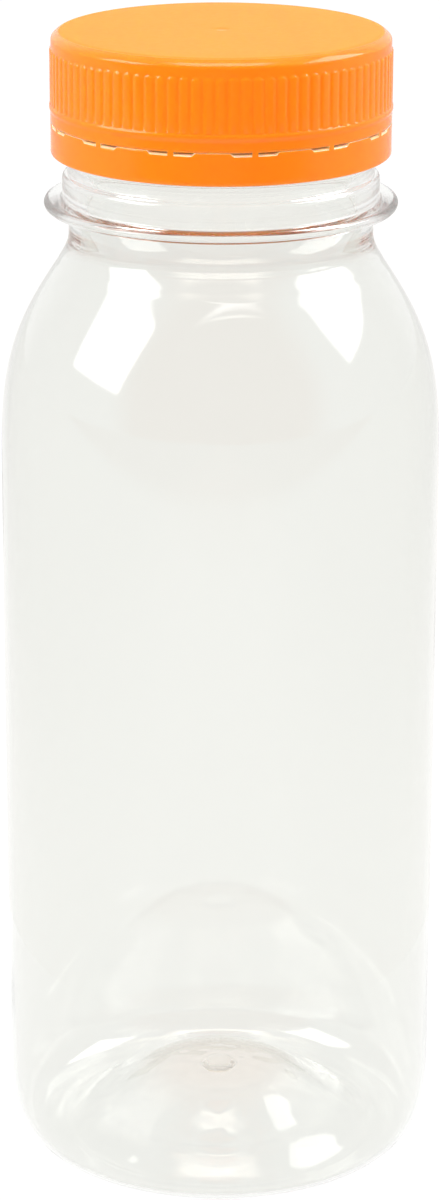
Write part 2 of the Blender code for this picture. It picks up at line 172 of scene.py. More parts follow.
def bezier(first, first_pull, last_pull, last, steps):
    """Points (radius, height) on a cubic curve between two points and their two handles."""
    points = []
    for t in np.linspace(0, 1, steps + 1):
        u = 1 - t
        weights = (u ** 3, 3 * u * u * t, 3 * u * t * t, t ** 3)
        corners = (first, first_pull, last_pull, last)
        points.append(tuple(sum(w * c[k] for w, c in zip(weights, corners)) for k in (0, 1)))
    return points


def line(first, last, steps):
    """Points on a straight line, without its first point."""
    return [
        (first[0] + (last[0] - first[0]) * k / steps, first[1] + (last[1] - first[1]) * k / steps)
        for k in range(1, steps + 1)
    ]


def eased(value):
    """A value eased from 0 to 1, with level ends."""
    value = min(1.0, max(0.0, value))
    return value * value * (3 - 2 * value)


def push_up(steps):
    """The underside of the base, from the gate's foot over a soft step out to the standing ring."""
    points = []
    for radius in np.linspace(GATE_RADIUS, STANDING_INNER_RADIUS - FOOT_TURN, 3 * steps):
        crown = CROWN_HEIGHT - CROWN_FALL * (radius / STEP_HEAD_RADIUS) ** 2
        step = STEP_DROP * eased((radius - STEP_HEAD_RADIUS) / (STEP_FOOT_RADIUS - STEP_HEAD_RADIUS))
        apron = APRON_DROP * eased((radius - STEP_FOOT_RADIUS) / (APRON_FOOT_RADIUS - STEP_FOOT_RADIUS))
        points.append((float(radius), crown - step - apron))
    last, before = points[-1], points[-2]
    slope = (last[1] - before[1]) / (last[0] - before[0])
    ring = (STANDING_INNER_RADIUS, 0.0)
    turn_pull = (last[0] + 0.5 * FOOT_TURN, last[1] + 0.5 * FOOT_TURN * slope)
    return points + bezier(last, turn_pull, (ring[0] - 0.25 * FOOT_TURN, FOOT_LIFT), ring, 6)[1:]


def heel(steps):
    """The rounded heel, from the standing ring up to the straight body."""
    return bezier(
        (STANDING_RADIUS, 0.0),
        (STANDING_RADIUS + HEEL_LOWER_PULL, 0.0),
        (BODY_RADIUS, HEEL_HEIGHT - HEEL_UPPER_PULL),
        (BODY_RADIUS, HEEL_HEIGHT),
        steps,
    )


def shoulder(steps):
    """The domed shoulder, from the straight body up to the crease under the neck."""
    pull_out = SHOULDER_UPPER_PULL * math.sin(SHOULDER_SLOPE)
    pull_down = SHOULDER_UPPER_PULL * math.cos(SHOULDER_SLOPE)
    return bezier(
        (BODY_RADIUS, BODY_TOP),
        (BODY_RADIUS, BODY_TOP + SHOULDER_LOWER_PULL),
        (SHOULDER_TOP_RADIUS + pull_out, SHOULDER_TOP - pull_down),
        (SHOULDER_TOP_RADIUS, SHOULDER_TOP),
        steps,
    )


def neck_root(steps):
    """The concave flare that leads from the shoulder into the neck, after a faint crease."""
    crease = (SHOULDER_TOP_RADIUS - CREASE_INWARD, SHOULDER_TOP + CREASE_RISE)
    return bezier(
        crease,
        (crease[0] + ROOT_FOOT_PULL[0], crease[1] + ROOT_FOOT_PULL[1]),
        (NECK_RADIUS, NECK_ROOT_TOP - ROOT_TOP_PULL),
        (NECK_RADIUS, NECK_ROOT_TOP),
        steps,
    )


def blown_profile():
    """The outside of everything below the neck, from the gate's foot to the foot of the neck."""
    low = push_up(14) + line((STANDING_INNER_RADIUS, 0.0), (STANDING_RADIUS, 0.0), 3)[:-1] + heel(20)
    body = line((BODY_RADIUS, HEEL_HEIGHT), (BODY_RADIUS, BODY_TOP), 24)[:-1]
    return low + body + shoulder(34) + neck_root(9)


def wall_thickness(radius, height):
    """The blown wall at a point of the outside, which is thick only in the middle of the base."""
    if height > HEEL_HEIGHT:
        return BODY_WALL
    inward = max(0.0, 1 - radius / STANDING_INNER_RADIUS)
    return BODY_WALL + (BASE_MIDDLE_WALL - BODY_WALL) * min(1.0, BASE_WALL_RISE * inward)


def inside_of(profile):
    """The inner surface: set in by the wall along each point's normal, then eased into the neck's bore."""
    points = [Vector(point) for point in profile]
    inner = []
    for i, point in enumerate(points):
        if point.y > THIN_WALL_TOP:
            break
        along = (points[i + 1] - points[max(i - 1, 0)]).normalized()
        inner.append(tuple(point + Vector((-along.y, along.x)) * wall_thickness(*point)))
    inner[0] = (inner[0][0], CROWN_HEIGHT + BASE_MIDDLE_WALL)
    last = Vector(inner[-1])
    pull = BORE_PULL * (BORE_FOOT - last.y)
    leaving = last + pull * (last - Vector(inner[-2])).normalized()
    bore = (BORE_RADIUS, BORE_FOOT)
    return inner + bezier(inner[-1], leaving, (BORE_RADIUS, BORE_FOOT - pull), bore, 14)[1:]


def support_ring():
    """The flange round the neck, with its rounded rim and blended roots."""
    half = RING_THICKNESS / 2
    blend = (RING_BLEND, RING_BLEND)
    below = arc((NECK_RADIUS + RING_BLEND, RING_MIDDLE - half - RING_BLEND), blend, 180, 90, 5)
    rim = arc((RING_RADIUS - half, RING_MIDDLE), (half, half), -90, 90, 20)
    above = arc((LAND_RADIUS + RING_BLEND, RING_MIDDLE + half + RING_BLEND), blend, 270, 180, 5)
    return below + rim + above


def finish():
    """The neck above the flange: land, tear-band bead, thread wall and rounded lip."""
    step = LAND_RADIUS - COLLAR_RADIUS
    land = arc((COLLAR_RADIUS, LAND_TOP - step), (step, step), 0, 80, 5)
    bead_size = (BEAD_RADIUS - COLLAR_RADIUS, BEAD_HALF_HEIGHT)
    bead = arc((COLLAR_RADIUS, BEAD_MIDDLE), bead_size, -90, 60, 10)
    foot = (FINISH_RADIUS, BEAD_MIDDLE + BEAD_HALF_HEIGHT)
    wall = [foot] + line(foot, (FINISH_RADIUS, LIP_TOP - LIP_ROUNDING), 54)[:-1]
    lip = (LIP_ROUNDING, LIP_ROUNDING)
    outer_lip = arc((FINISH_RADIUS - LIP_ROUNDING, LIP_TOP - LIP_ROUNDING), lip, 0, 90, 5)
    inner_lip = arc((BORE_RADIUS + LIP_ROUNDING, LIP_TOP - LIP_ROUNDING), lip, 90, 180, 5)
    return land + [(COLLAR_RADIUS, COLLAR_FOOT)] + bead + wall + outer_lip + inner_lip


def bottle_profile():
    """The closed half section of the bottle, from the axis below the base round to the axis inside it."""
    gate_low = CROWN_HEIGHT - GATE_LENGTH
    gate = [(0.0, gate_low), (0.7 * GATE_RADIUS, gate_low), (0.86 * GATE_RADIUS, gate_low + GATE_EDGE)]
    gate += [(0.95 * GATE_RADIUS, CROWN_HEIGHT - 1.5 * GATE_EDGE)]
    outside = gate + blown_profile() + support_ring() + finish()
    inside = inside_of(blown_profile())
    inner_crown = CROWN_HEIGHT + BASE_MIDDLE_WALL
    return outside, list(reversed(inside)) + [(0.6 * GATE_RADIUS, inner_crown), (0.0, inner_crown)]


def thread_height(angles, height, start_height):
    """How far the thread stands out of its wall, by angle, at one height."""
    proud = np.zeros_like(angles)
    for start in range(THREAD_STARTS):
        first = THREAD_TURN + math.tau * start / THREAD_STARTS
        share = np.mod(angles - first, math.tau) / THREAD_SWEEP
        here = share <= 1
        away = np.abs(height - start_height - THREAD_LEAD * THREAD_SWEEP * share / math.tau)
        fullness = np.clip(THREAD_END_FULLNESS + THREAD_END_RISE * np.minimum(share, 1 - share), 0, 1)
        side = np.clip((THREAD_BASE_HALF - away) / (THREAD_BASE_HALF - THREAD_CREST_HALF), 0, 1)
        proud = np.where(here, np.maximum(proud, THREAD_DEPTH * fullness * side), proud)
    return proud


def lathe(name, profile, columns, reshape):
    """A closed mesh turned from a half section that starts and ends on the axis.

    reshape(row, radius, height, angles) returns the radii and heights all round for one row.
    """
    angles = np.arange(columns) * math.tau / columns
    rings = []
    for row, (radius, height) in enumerate(profile[1:-1]):
        radii, heights = reshape(row, radius, height, angles)
        rings.append(np.stack([radii * np.cos(angles), radii * np.sin(angles), heights + 0 * angles], 1))
    places = np.concatenate(rings + [[(0, 0, profile[0][1])], [(0, 0, profile[-1][1])]]) * MM
    faces = []
    for row in range(len(rings) - 1):
        low, high = row * columns, (row + 1) * columns
        for i in range(columns):
            j = (i + 1) % columns
            faces.append((low + i, low + j, high + j, high + i))
    first, last = len(places) - 2, len(places) - 1
    top = (len(rings) - 1) * columns
    for i in range(columns):
        j = (i + 1) % columns
        faces.append((first, j, i))
        faces.append((last, top + i, top + j))
    mesh = bpy.data.meshes.new(name)
    mesh.from_pydata([tuple(place) for place in places], [], faces)
    mesh.shade_smooth()
    made = bpy.data.objects.new(name, mesh)
    bpy.context.scene.collection.objects.link(made)
    return made


def unevenness(radius, height, angles, seed, pitch):
    """The soft waves that blowing leaves in a wall, from -1 to 1, by angle. The pitch is a wave's width."""
    waves = []
    for angle in angles:
        place = Vector((radius * math.cos(angle), radius * math.sin(angle), height * WAVE_FLATTENING))
        place /= pitch
        place.z += seed
        small = noise.noise(place * SMALL_WAVE_RATIO)
        waves.append(noise.noise(place) + SMALL_WAVE_SHARE * small)
    return np.array(waves)


def bottle_shell():
    """The bottle, with the slight unevenness of a blown wall and the thread on its neck."""
    outside, inside = bottle_profile()
    split = len(outside) - 1

    def reshape(row, radius, height, angles):
        radii = np.full_like(angles, radius)
        inner = row >= split
        if height < HEEL_HEIGHT and radius < STANDING_INNER_RADIUS:
            calm = 1 - eased((radius - CALM_START) / CALM_SPAN)
            amount, seed = INNER_BASE_WAVES, INNER_BASE_SEED
            if not inner:
                calm *= eased(radius / GATE_RADIUS - 1)
                amount, seed = OUTER_BASE_WAVES, OUTER_BASE_SEED
            waves = unevenness(radius, height, angles, seed, BASE_WAVE_PITCH)
            return radii, height + amount * calm * waves
        if inner:
            if height < THIN_WALL_TOP:
                radii += INNER_WAVES * unevenness(radius, height, angles, INNER_SEED, WAVE_PITCH)
            return radii, height
        if height > BEAD_MIDDLE + BEAD_HALF_HEIGHT and radius >= FINISH_RADIUS:
            radii += thread_height(angles, height, NECK_THREAD_START)
        elif HEEL_HEIGHT < height < NECK_ROOT_TOP:
            calm = min(1.0, (height - HEEL_HEIGHT) / HEEL_EASE, (NECK_ROOT_TOP - height) / NECK_EASE)
            radii += OUTER_WAVES * (unevenness(radius, height, angles, OUTER_SEED, WAVE_PITCH) - 1) * calm
        return radii, height

    return lathe("bottle_shell", outside + inside, BOTTLE_COLUMNS, reshape)


def cap_profile():
    """The closed half section of the cap, from the middle of its top round to the middle of its ceiling."""
    mark = [(across * MARK_RADIUS, CAP_TOP - down * MARK_DEPTH) for across, down in MARK_STEPS]
    top = mark + line(mark[-1], (DISC_RADIUS, CAP_TOP), 6)[:-1]
    edge = arc((DISC_RADIUS, CAP_TOP - RIM_BEND), (RIM_BEND, RIM_BEND), 90, RIM_END, 10)
    rim_foot, rib_head = edge[-1], (CAP_UPPER_RADIUS, RIB_TOP + COLUMN_STEP)
    rim_pull = (rim_foot[0] + RIM_FOOT_PULL * math.tan(math.radians(RIM_END)), rim_foot[1] - RIM_FOOT_PULL)
    side = bezier(rim_foot, rim_pull, (rib_head[0], rib_head[1] + RIB_HEAD_PULL), rib_head, 6)[1:]
    rib_shoulder = (CAP_UPPER_RADIUS, RIB_TOP - 10 * COLUMN_STEP)
    ribs = line(rib_head, rib_shoulder, 9) + line(rib_shoulder, (CAP_UPPER_RADIUS, RIB_BOTTOM), 3)
    ridge = [
        (CAP_SMOOTH_RADIUS, COLLAR_TOP + 0.6 * COLLAR_EASE),
        (CAP_SMOOTH_RADIUS + 0.6 * COLLAR_PROUD, COLLAR_TOP),
        (CAP_SMOOTH_RADIUS + COLLAR_PROUD, COLLAR_TOP - COLLAR_EASE),
        (CAP_SMOOTH_RADIUS + COLLAR_PROUD, COLLAR_BOTTOM + 1.5 * COLLAR_EASE),
        (CAP_SMOOTH_RADIUS + 0.5 * COLLAR_PROUD, COLLAR_BOTTOM + 0.5 * COLLAR_EASE),
        (CAP_SMOOTH_RADIUS, COLLAR_BOTTOM - 0.3 * COLLAR_EASE),
    ]
    skirt = line(ridge[-1], (CAP_SMOOTH_RADIUS, SLIT_TOP), 5)
    band_foot = (CAP_SMOOTH_RADIUS, CAP_BOTTOM + BAND_ROUNDING)
    band = line(skirt[-1], band_foot, 10)
    foot = arc((band_foot[0] - BAND_ROUNDING, band_foot[1]), (BAND_ROUNDING, BAND_ROUNDING), 0, -90, 4)
    inner = [
        (BAND_INNER_RADIUS + BAND_CHAMFER, CAP_BOTTOM),
        (BAND_INNER_RADIUS, CAP_BOTTOM + BAND_CHAMFER),
        (BAND_LIP_RADIUS, BAND_LIP_BOTTOM),
        (BAND_LIP_RADIUS, BAND_LIP_TOP),
        (BAND_INNER_RADIUS, BAND_LIP_TOP + BAND_LIP_SLOPE),
        (BAND_INNER_RADIUS, SLIT_BOTTOM - SLIT_CHAMFER),
        (CAP_INNER_RADIUS, SLIT_TOP + WALL_STEP),
    ]
    ceiling = CAP_TOP - CAP_TOP_WALL
    wall = line(inner[-1], (CAP_INNER_RADIUS, ceiling - CEILING_CORNER), 28)
    roof = [(CAP_INNER_RADIUS - CEILING_CORNER, ceiling), (CAP_INNER_RADIUS / 2, ceiling), (0.0, ceiling)]
    outside = top + edge + side + ribs + ridge + skirt + band + foot[1:]
    return outside, inner + wall + roof


def rib_height(angles, height):
    """How far the ribs stand out of the wall: broad rounded crests with arched upper ends."""
    across = np.abs(np.mod(angles * RIB_COUNT / math.tau, 1.0) * 2 - 1)
    crest = 1 - np.clip(across / RIB_WIDTH, 0, 1) ** RIB_SQUARENESS
    arched_top = RIB_TOP - RIB_ARCH * across ** 2
    ending = np.clip((arched_top - height) / RIB_ENDING, 0, 1)
    ending = ending * ending * (3 - 2 * ending)
    return RIB_PROUD * crest * ending


def cap_shell():
    """The cap: ribs, collar, slit and bridges outside, its thread inside."""
    outside, inside = cap_profile()
    split = len(outside) - 1

    def reshape(row, radius, height, angles):
        radii = np.full_like(angles, radius)
        if row >= split:
            if radius == CAP_INNER_RADIUS:
                half_spacing = THREAD_LEAD / THREAD_STARTS / 2
                radii -= thread_height(angles, height, NECK_THREAD_START + half_spacing)
            return radii, height
        if radius > DISC_RADIUS + RIM_BEND / 2 and height >= RIB_BOTTOM:
            radii += rib_height(angles, height)
        return radii, height

    cap = lathe("cap_shell", outside + inside, RIB_COUNT * COLUMNS_PER_RIB, reshape)
    cut_slit(cap)
    return cap


def slit_height(from_bridge):
    """How high the slit is: open windows beside each bridge, and a hairline cut between them."""
    closing = min(1.0, max(0.0, (from_bridge - WINDOW_ANGLE) / WINDOW_CLOSING))
    return (SLIT_TOP - SLIT_BOTTOM) * (1 - closing) + HAIRLINE * closing


def cut_slit(cap):
    """Cuts the slit between the bridges: its windows go through the wall, its hairline only into it."""
    spacing = math.tau / BRIDGE_COUNT
    places, faces = [], []
    full = SLIT_TOP - SLIT_BOTTOM
    edge = CAP_SMOOTH_RADIUS
    near, far = CAP_INNER_RADIUS - CUTTER_REACH, edge + CUTTER_REACH
    for bridge in range(BRIDGE_COUNT):
        first = FIRST_BRIDGE - math.pi / 2 + spacing * bridge
        base = len(places)
        for step in range(SLIT_STEPS + 1):
            past = BRIDGE_ANGLE / 2 + (spacing - BRIDGE_ANGLE) * step / SLIT_STEPS
            opening = slit_height(min(past, spacing - past))
            chamfer_share = HAIRLINE_CHAMFER_SHARE + (1 - HAIRLINE_CHAMFER_SHARE) * opening / full
            low, bevel_start = SLIT_TOP - opening, edge - SLIT_CHAMFER * chamfer_share
            x, y = MM * math.cos(first + past), MM * math.sin(first + past)
            inward = near if opening > 1.5 * HAIRLINE else edge - HAIRLINE_DEPTH
            bevel = ((bevel_start, low), (far, low - far + bevel_start))
            section = ((inward, low), *bevel, (far, SLIT_TOP), (inward, SLIT_TOP))
            for radius, height in section:
                places.append((radius * x, radius * y, height * MM))
        corners = len(section)
        for step in range(SLIT_STEPS):
            here = base + corners * step
            for k in range(corners):
                m = (k + 1) % corners
                faces.append((here + k, here + corners + k, here + corners + m, here + m))
        faces.append(tuple(range(base, base + corners)))
        end = base + corners * SLIT_STEPS
        faces.append(tuple(range(end + corners - 1, end - 1, -1)))
    mesh = bpy.data.meshes.new("slit")
    mesh.from_pydata(places, [], faces)
    cutter = bpy.data.objects.new("slit", mesh)
    bpy.context.scene.collection.objects.link(cutter)
    change = cap.modifiers.new("slit", "BOOLEAN")
    change.operation = "DIFFERENCE"
    change.solver = "EXACT"
    change.object = cutter
    graph = bpy.context.evaluated_depsgraph_get()
    cut = bpy.data.meshes.new_from_object(cap.evaluated_get(graph))
    cap.modifiers.clear()
    cap.data = cut
    bpy.data.objects.remove(cutter, do_unlink=True)
    bpy.data.meshes.remove(mesh)


def new_material(name):
    """A material with an empty node tree."""
    made = bpy.data.materials.new(name)
    made.use_nodes = True
    made.node_tree.nodes.clear()
    return made, made.node_tree


def node(tree, kind, **values):
    """A shader node with its properties set."""
    made = tree.nodes.new(kind)
    for key, value in values.items():
        setattr(made, key, value)
    return made


def noise_at(tree, scale, detail, stretch=(1, 1, 1)):
    """A noise texture in object space, whose scale is per metre, stretched along the axes."""
    place = node(tree, "ShaderNodeTexCoord")
    mapping = node(tree, "ShaderNodeMapping")
    mapping.inputs["Scale"].default_value = stretch
    texture = node(tree, "ShaderNodeTexNoise")
    texture.inputs["Scale"].default_value = scale
    texture.inputs["Detail"].default_value = detail
    tree.links.new(place.outputs["Object"], mapping.inputs["Vector"])
    tree.links.new(mapping.outputs["Vector"], texture.inputs["Vector"])
    return texture.outputs["Fac"]


def ranged(tree, value, low, high):
    """A 0 to 1 value spread over another range."""
    made = node(tree, "ShaderNodeMapRange")
    made.inputs["To Min"].default_value = low
    made.inputs["To Max"].default_value = high
    tree.links.new(value, made.inputs["Value"])
    return made.outputs["Result"]


def add_bump(tree, shader, height, strength, depth):
    """Makes a shader's surface rise and fall with a height, by a depth in metres."""
    bump = node(tree, "ShaderNodeBump")
    bump.inputs["Strength"].default_value = strength
    bump.inputs["Distance"].default_value = depth
    tree.links.new(height, bump.inputs["Height"])
    tree.links.new(bump.outputs["Normal"], shader.inputs["Normal"])


def around_gate(tree, first, full):
    """How near a point is to the gate under the base: 0 beyond the first distance, 1 within the second."""
    place = node(tree, "ShaderNodeTexCoord")
    span = node(tree, "ShaderNodeVectorMath", operation="DISTANCE")
    span.inputs[1].default_value = (0, 0, CROWN_HEIGHT * MM)
    tree.links.new(place.outputs["Object"], span.inputs[0])
    near = node(tree, "ShaderNodeMapRange", interpolation_type="SMOOTHSTEP")
    near.inputs["From Min"].default_value = first * MM
    near.inputs["From Max"].default_value = full * MM
    tree.links.new(span.outputs["Value"], near.inputs["Value"])
    return near.outputs["Result"]


def clear_plastic():
    """Clear polyester: hard gloss, faint waves and a little haze, and it lets the lamps' light through.
    Round the gate it carries a warm painted reflection of the orange cap.
    """
    made, tree = new_material("clear_pet")
    shader = node(tree, "ShaderNodeBsdfPrincipled")
    tint = node(tree, "ShaderNodeMix", data_type="RGBA")
    # Painted reflection: the plastic turns warm round the gate to stand for the orange cap's light seen in
    # the base.
    tint.inputs["A"].default_value = CLEAR_TINT
    tint.inputs["B"].default_value = GATE_PAINTED_REFLECTION
    tree.links.new(around_gate(tree, PAINTED_REFLECTION_REACH, PAINTED_REFLECTION_FULL), tint.inputs["Factor"])
    tree.links.new(tint.outputs["Result"], shader.inputs["Base Color"])
    shader.inputs["Transmission Weight"].default_value = 1.0
    shader.inputs["IOR"].default_value = CLEAR_IOR
    haze = noise_at(tree, HAZE_SCALE, 3, (1, 1, 0.35))
    blurred = node(tree, "ShaderNodeMath", operation="MULTIPLY_ADD")
    blurred.inputs[1].default_value = GATE_HAZE
    tree.links.new(around_gate(tree, GATE_RADIUS + GATE_HAZE_FADE, GATE_RADIUS), blurred.inputs[0])
    tree.links.new(ranged(tree, haze, 0.0, CLEAR_HAZE), blurred.inputs[2])
    tree.links.new(blurred.outputs["Value"], shader.inputs["Roughness"])
    waves = noise_at(tree, CLEAR_WAVE_SCALE, 2, (1, 1, 0.25))
    add_bump(tree, shader, waves, CLEAR_WAVE_STRENGTH, CLEAR_WAVE_DEPTH)
    clear = node(tree, "ShaderNodeBsdfTransparent")
    clear.inputs["Color"].default_value = SHADOW_TINT
    path = node(tree, "ShaderNodeLightPath")
    mix = node(tree, "ShaderNodeMixShader")
    tree.links.new(path.outputs["Is Shadow Ray"], mix.inputs["Fac"])
    tree.links.new(shader.outputs["BSDF"], mix.inputs[1])
    tree.links.new(clear.outputs["BSDF"], mix.inputs[2])
    output = node(tree, "ShaderNodeOutputMaterial")
    tree.links.new(mix.outputs["Shader"], output.inputs["Surface"])
    return made


def inner_and_cut_faces(tree, split):
    """Two masks: the inside of the cap, where the light that comes through the wall is painted as a paler
    colour, and the slit's faces, which get a painted highlight.
    """
    flat = node(tree, "ShaderNodeCombineXYZ")
    tree.links.new(split.outputs["X"], flat.inputs["X"])
    tree.links.new(split.outputs["Y"], flat.inputs["Y"])
    radius = node(tree, "ShaderNodeVectorMath", operation="LENGTH")
    tree.links.new(flat.outputs["Vector"], radius.inputs[0])
    masks = []
    for limit in (BAND_INNER_RADIUS + MASK_MARGIN, CAP_SMOOTH_RADIUS - CUT_MARGIN):
        within = node(tree, "ShaderNodeMath", operation="LESS_THAN")
        within.inputs[1].default_value = limit * MM
        tree.links.new(radius.outputs["Value"], within.inputs[0])
        masks.append(within.outputs["Value"])
    below = node(tree, "ShaderNodeMath", operation="LESS_THAN")
    below.inputs[1].default_value = (CAP_TOP - 0.5 * CAP_TOP_WALL) * MM
    tree.links.new(split.outputs["Z"], below.inputs[0])
    level = node(tree, "ShaderNodeMath", operation="COMPARE")
    level.inputs[1].default_value = (SLIT_TOP + SLIT_BOTTOM - SLIT_CHAMFER) / 2 * MM
    level.inputs[2].default_value = ((SLIT_TOP - SLIT_BOTTOM + SLIT_CHAMFER) / 2 + LEVEL_MARGIN) * MM
    tree.links.new(split.outputs["Z"], level.inputs[0])
    made = []
    for mask, height in zip(masks, (below, level)):
        both = node(tree, "ShaderNodeMath", operation="MULTIPLY")
        tree.links.new(mask, both.inputs[0])
        tree.links.new(height.outputs["Value"], both.inputs[1])
        made.append(both.outputs["Value"])
    return made


def orange_plastic():
    """Moulded orange polypropylene: satin, slightly translucent, with a fine moulded grain, painted light
    on its inside and a painted highlight on the slit's faces.
    """
    made, tree = new_material("orange_plastic")
    shader = node(tree, "ShaderNodeBsdfPrincipled")
    tint = node(tree, "ShaderNodeMix", data_type="RGBA")
    tint.inputs["A"].default_value, tint.inputs["B"].default_value = ORANGE_TINTS
    tree.links.new(noise_at(tree, TINT_SCALE, 4), tint.inputs["Factor"])
    split = node(tree, "ShaderNodeSeparateXYZ")
    tree.links.new(node(tree, "ShaderNodeTexCoord").outputs["Object"], split.inputs["Vector"])
    inside, cut = inner_and_cut_faces(tree, split)
    colour = tint.outputs["Result"]
    # Painted light: the inside faces are paled to stand for light coming through the wall, and the slit's
    # faces are paled as a painted highlight.
    for where, pale in ((inside, ORANGE_INSIDE_PAINTED_LIGHT), (cut, SLIT_PAINTED_HIGHLIGHT)):
        paled = node(tree, "ShaderNodeMix", data_type="RGBA")
        paled.inputs["B"].default_value = pale
        tree.links.new(where, paled.inputs["Factor"])
        tree.links.new(colour, paled.inputs["A"])
        colour = paled.outputs["Result"]
    tree.links.new(colour, shader.inputs["Base Color"])
    on_disc = node(tree, "ShaderNodeMapRange", interpolation_type="SMOOTHSTEP")
    on_disc.inputs["From Min"].default_value = (CAP_TOP - DISC_FADE_START) * MM
    on_disc.inputs["From Max"].default_value = (CAP_TOP - DISC_FADE_END) * MM
    tree.links.new(split.outputs["Z"], on_disc.inputs["Value"])
    finish_mix = node(tree, "ShaderNodeMix", data_type="FLOAT")
    tree.links.new(on_disc.outputs["Result"], finish_mix.inputs["Factor"])
    side_grain, disc_grain = noise_at(tree, SIDE_GLOSS_SCALE, 3), noise_at(tree, DISC_GLOSS_SCALE, 3)
    tree.links.new(ranged(tree, side_grain, *SIDE_ROUGHNESS), finish_mix.inputs["A"])
    tree.links.new(ranged(tree, disc_grain, *DISC_ROUGHNESS), finish_mix.inputs["B"])
    tree.links.new(finish_mix.outputs["Result"], shader.inputs["Roughness"])
    shader.inputs["IOR"].default_value = ORANGE_IOR
    shader.inputs["Specular IOR Level"].default_value = ORANGE_SPECULAR
    shader.inputs["Subsurface Weight"].default_value = ORANGE_SCATTER
    shader.inputs["Subsurface Radius"].default_value = SCATTER_COLOUR
    shader.inputs["Subsurface Scale"].default_value = SCATTER_DEPTH
    add_bump(tree, shader, noise_at(tree, GRAIN_SCALE, 2), GRAIN_STRENGTH, GRAIN_DEPTH)
    output = node(tree, "ShaderNodeOutputMaterial")
    tree.links.new(shader.outputs["BSDF"], output.inputs["Surface"])
    return made


def floor_material():
    """A white sheet lit from within, so that it stays white and takes only a faint shadow."""
    made, tree = new_material("white_floor")
    shader = node(tree, "ShaderNodeBsdfPrincipled")
    shader.inputs["Base Color"].default_value = FLOOR_GREY
    shader.inputs["Roughness"].default_value = 1.0
    shader.inputs["Specular IOR Level"].default_value = 0.0
    shader.inputs["Emission Color"].default_value = (1, 1, 1, 1)
    shader.inputs["Emission Strength"].default_value = FLOOR_GLOW
    output = node(tree, "ShaderNodeOutputMaterial")
    tree.links.new(shader.outputs["BSDF"], output.inputs["Surface"])
    return made


def sheet_rim(reach):
    """The corners of a round sheet on the floor."""
    turns = [math.tau * i / SHEET_SIDES for i in range(SHEET_SIDES)]
    return [(reach * math.cos(t), reach * math.sin(t), 0.0) for t in turns]


def add_floor():
    """The plain white floor, a wide round sheet under the bottle."""
    mesh = bpy.data.meshes.new("floor")
    mesh.from_pydata(sheet_rim(FLOOR_REACH), [], [tuple(range(SHEET_SIDES))])
    floor = bpy.data.objects.new("floor", mesh)
    floor.location.z = -FLOOR_GAP
    floor.data.materials.append(floor_material())
    bpy.context.scene.collection.objects.link(floor)


def add_softbox(name, place, size, roll, radiance, soft_edge):
    """A rectangular softbox aimed at the shoulder, whose light fades towards its edges.

    Its place is an azimuth from the camera's side, to the right, an elevation and a distance.
    """
    turn, lift = math.radians(place[0]), math.radians(place[1])
    away = Vector((math.sin(turn) * math.cos(lift), -math.cos(turn) * math.cos(lift), math.sin(lift)))
    lamp = bpy.data.lights.new(name, "AREA")
    lamp.shape = "RECTANGLE"
    lamp.size, lamp.size_y = size
    lamp.energy = size[0] * size[1] * math.pi
    lamp.use_nodes = True
    tree = lamp.node_tree
    tree.nodes.clear()
    spot = node(tree, "ShaderNodeNewGeometry")
    split = node(tree, "ShaderNodeSeparateXYZ")
    tree.links.new(spot.outputs["Parametric"], split.inputs["Vector"])
    fades = []
    for axis in ("X", "Y"):
        from_middle = node(tree, "ShaderNodeMath", operation="SUBTRACT")
        from_middle.inputs[1].default_value = 0.5
        tree.links.new(split.outputs[axis], from_middle.inputs[0])
        outward = node(tree, "ShaderNodeMath", operation="ABSOLUTE")
        tree.links.new(from_middle.outputs["Value"], outward.inputs[0])
        fade = node(tree, "ShaderNodeMapRange", interpolation_type="SMOOTHSTEP")
        fade.inputs["From Min"].default_value = 0.5
        fade.inputs["From Max"].default_value = 0.5 - soft_edge
        tree.links.new(outward.outputs["Value"], fade.inputs["Value"])
        fades.append(fade.outputs["Result"])
    both = node(tree, "ShaderNodeMath", operation="MULTIPLY")
    tree.links.new(fades[0], both.inputs[0])
    tree.links.new(fades[1], both.inputs[1])
    glow = node(tree, "ShaderNodeEmission")
    strength = node(tree, "ShaderNodeMath", operation="MULTIPLY")
    strength.inputs[1].default_value = radiance
    tree.links.new(both.outputs["Value"], strength.inputs[0])
    tree.links.new(strength.outputs["Value"], glow.inputs["Strength"])
    output = node(tree, "ShaderNodeOutputLight")
    tree.links.new(glow.outputs["Emission"], output.inputs["Surface"])
    box = bpy.data.objects.new(name, lamp)
    box.location = SOFTBOX_AIM + away * place[2]
    aimed = away.to_track_quat("Z", "Y").to_matrix()
    box.rotation_euler = (aimed @ Matrix.Rotation(math.radians(roll), 3, "Z")).to_euler()
    box.visible_camera = False
    bpy.context.scene.collection.objects.link(box)
    return box


def fading(tree, value, first, last, final):
    """A level that falls from 1 to a final value while another value runs between two limits."""
    made = node(tree, "ShaderNodeMapRange", interpolation_type="SMOOTHSTEP")
    made.inputs["From Min"].default_value = first
    made.inputs["From Max"].default_value = last
    made.inputs["To Min"].default_value = 1.0
    made.inputs["To Max"].default_value = final
    tree.links.new(value, made.inputs["Value"])
    return made.outputs["Result"]


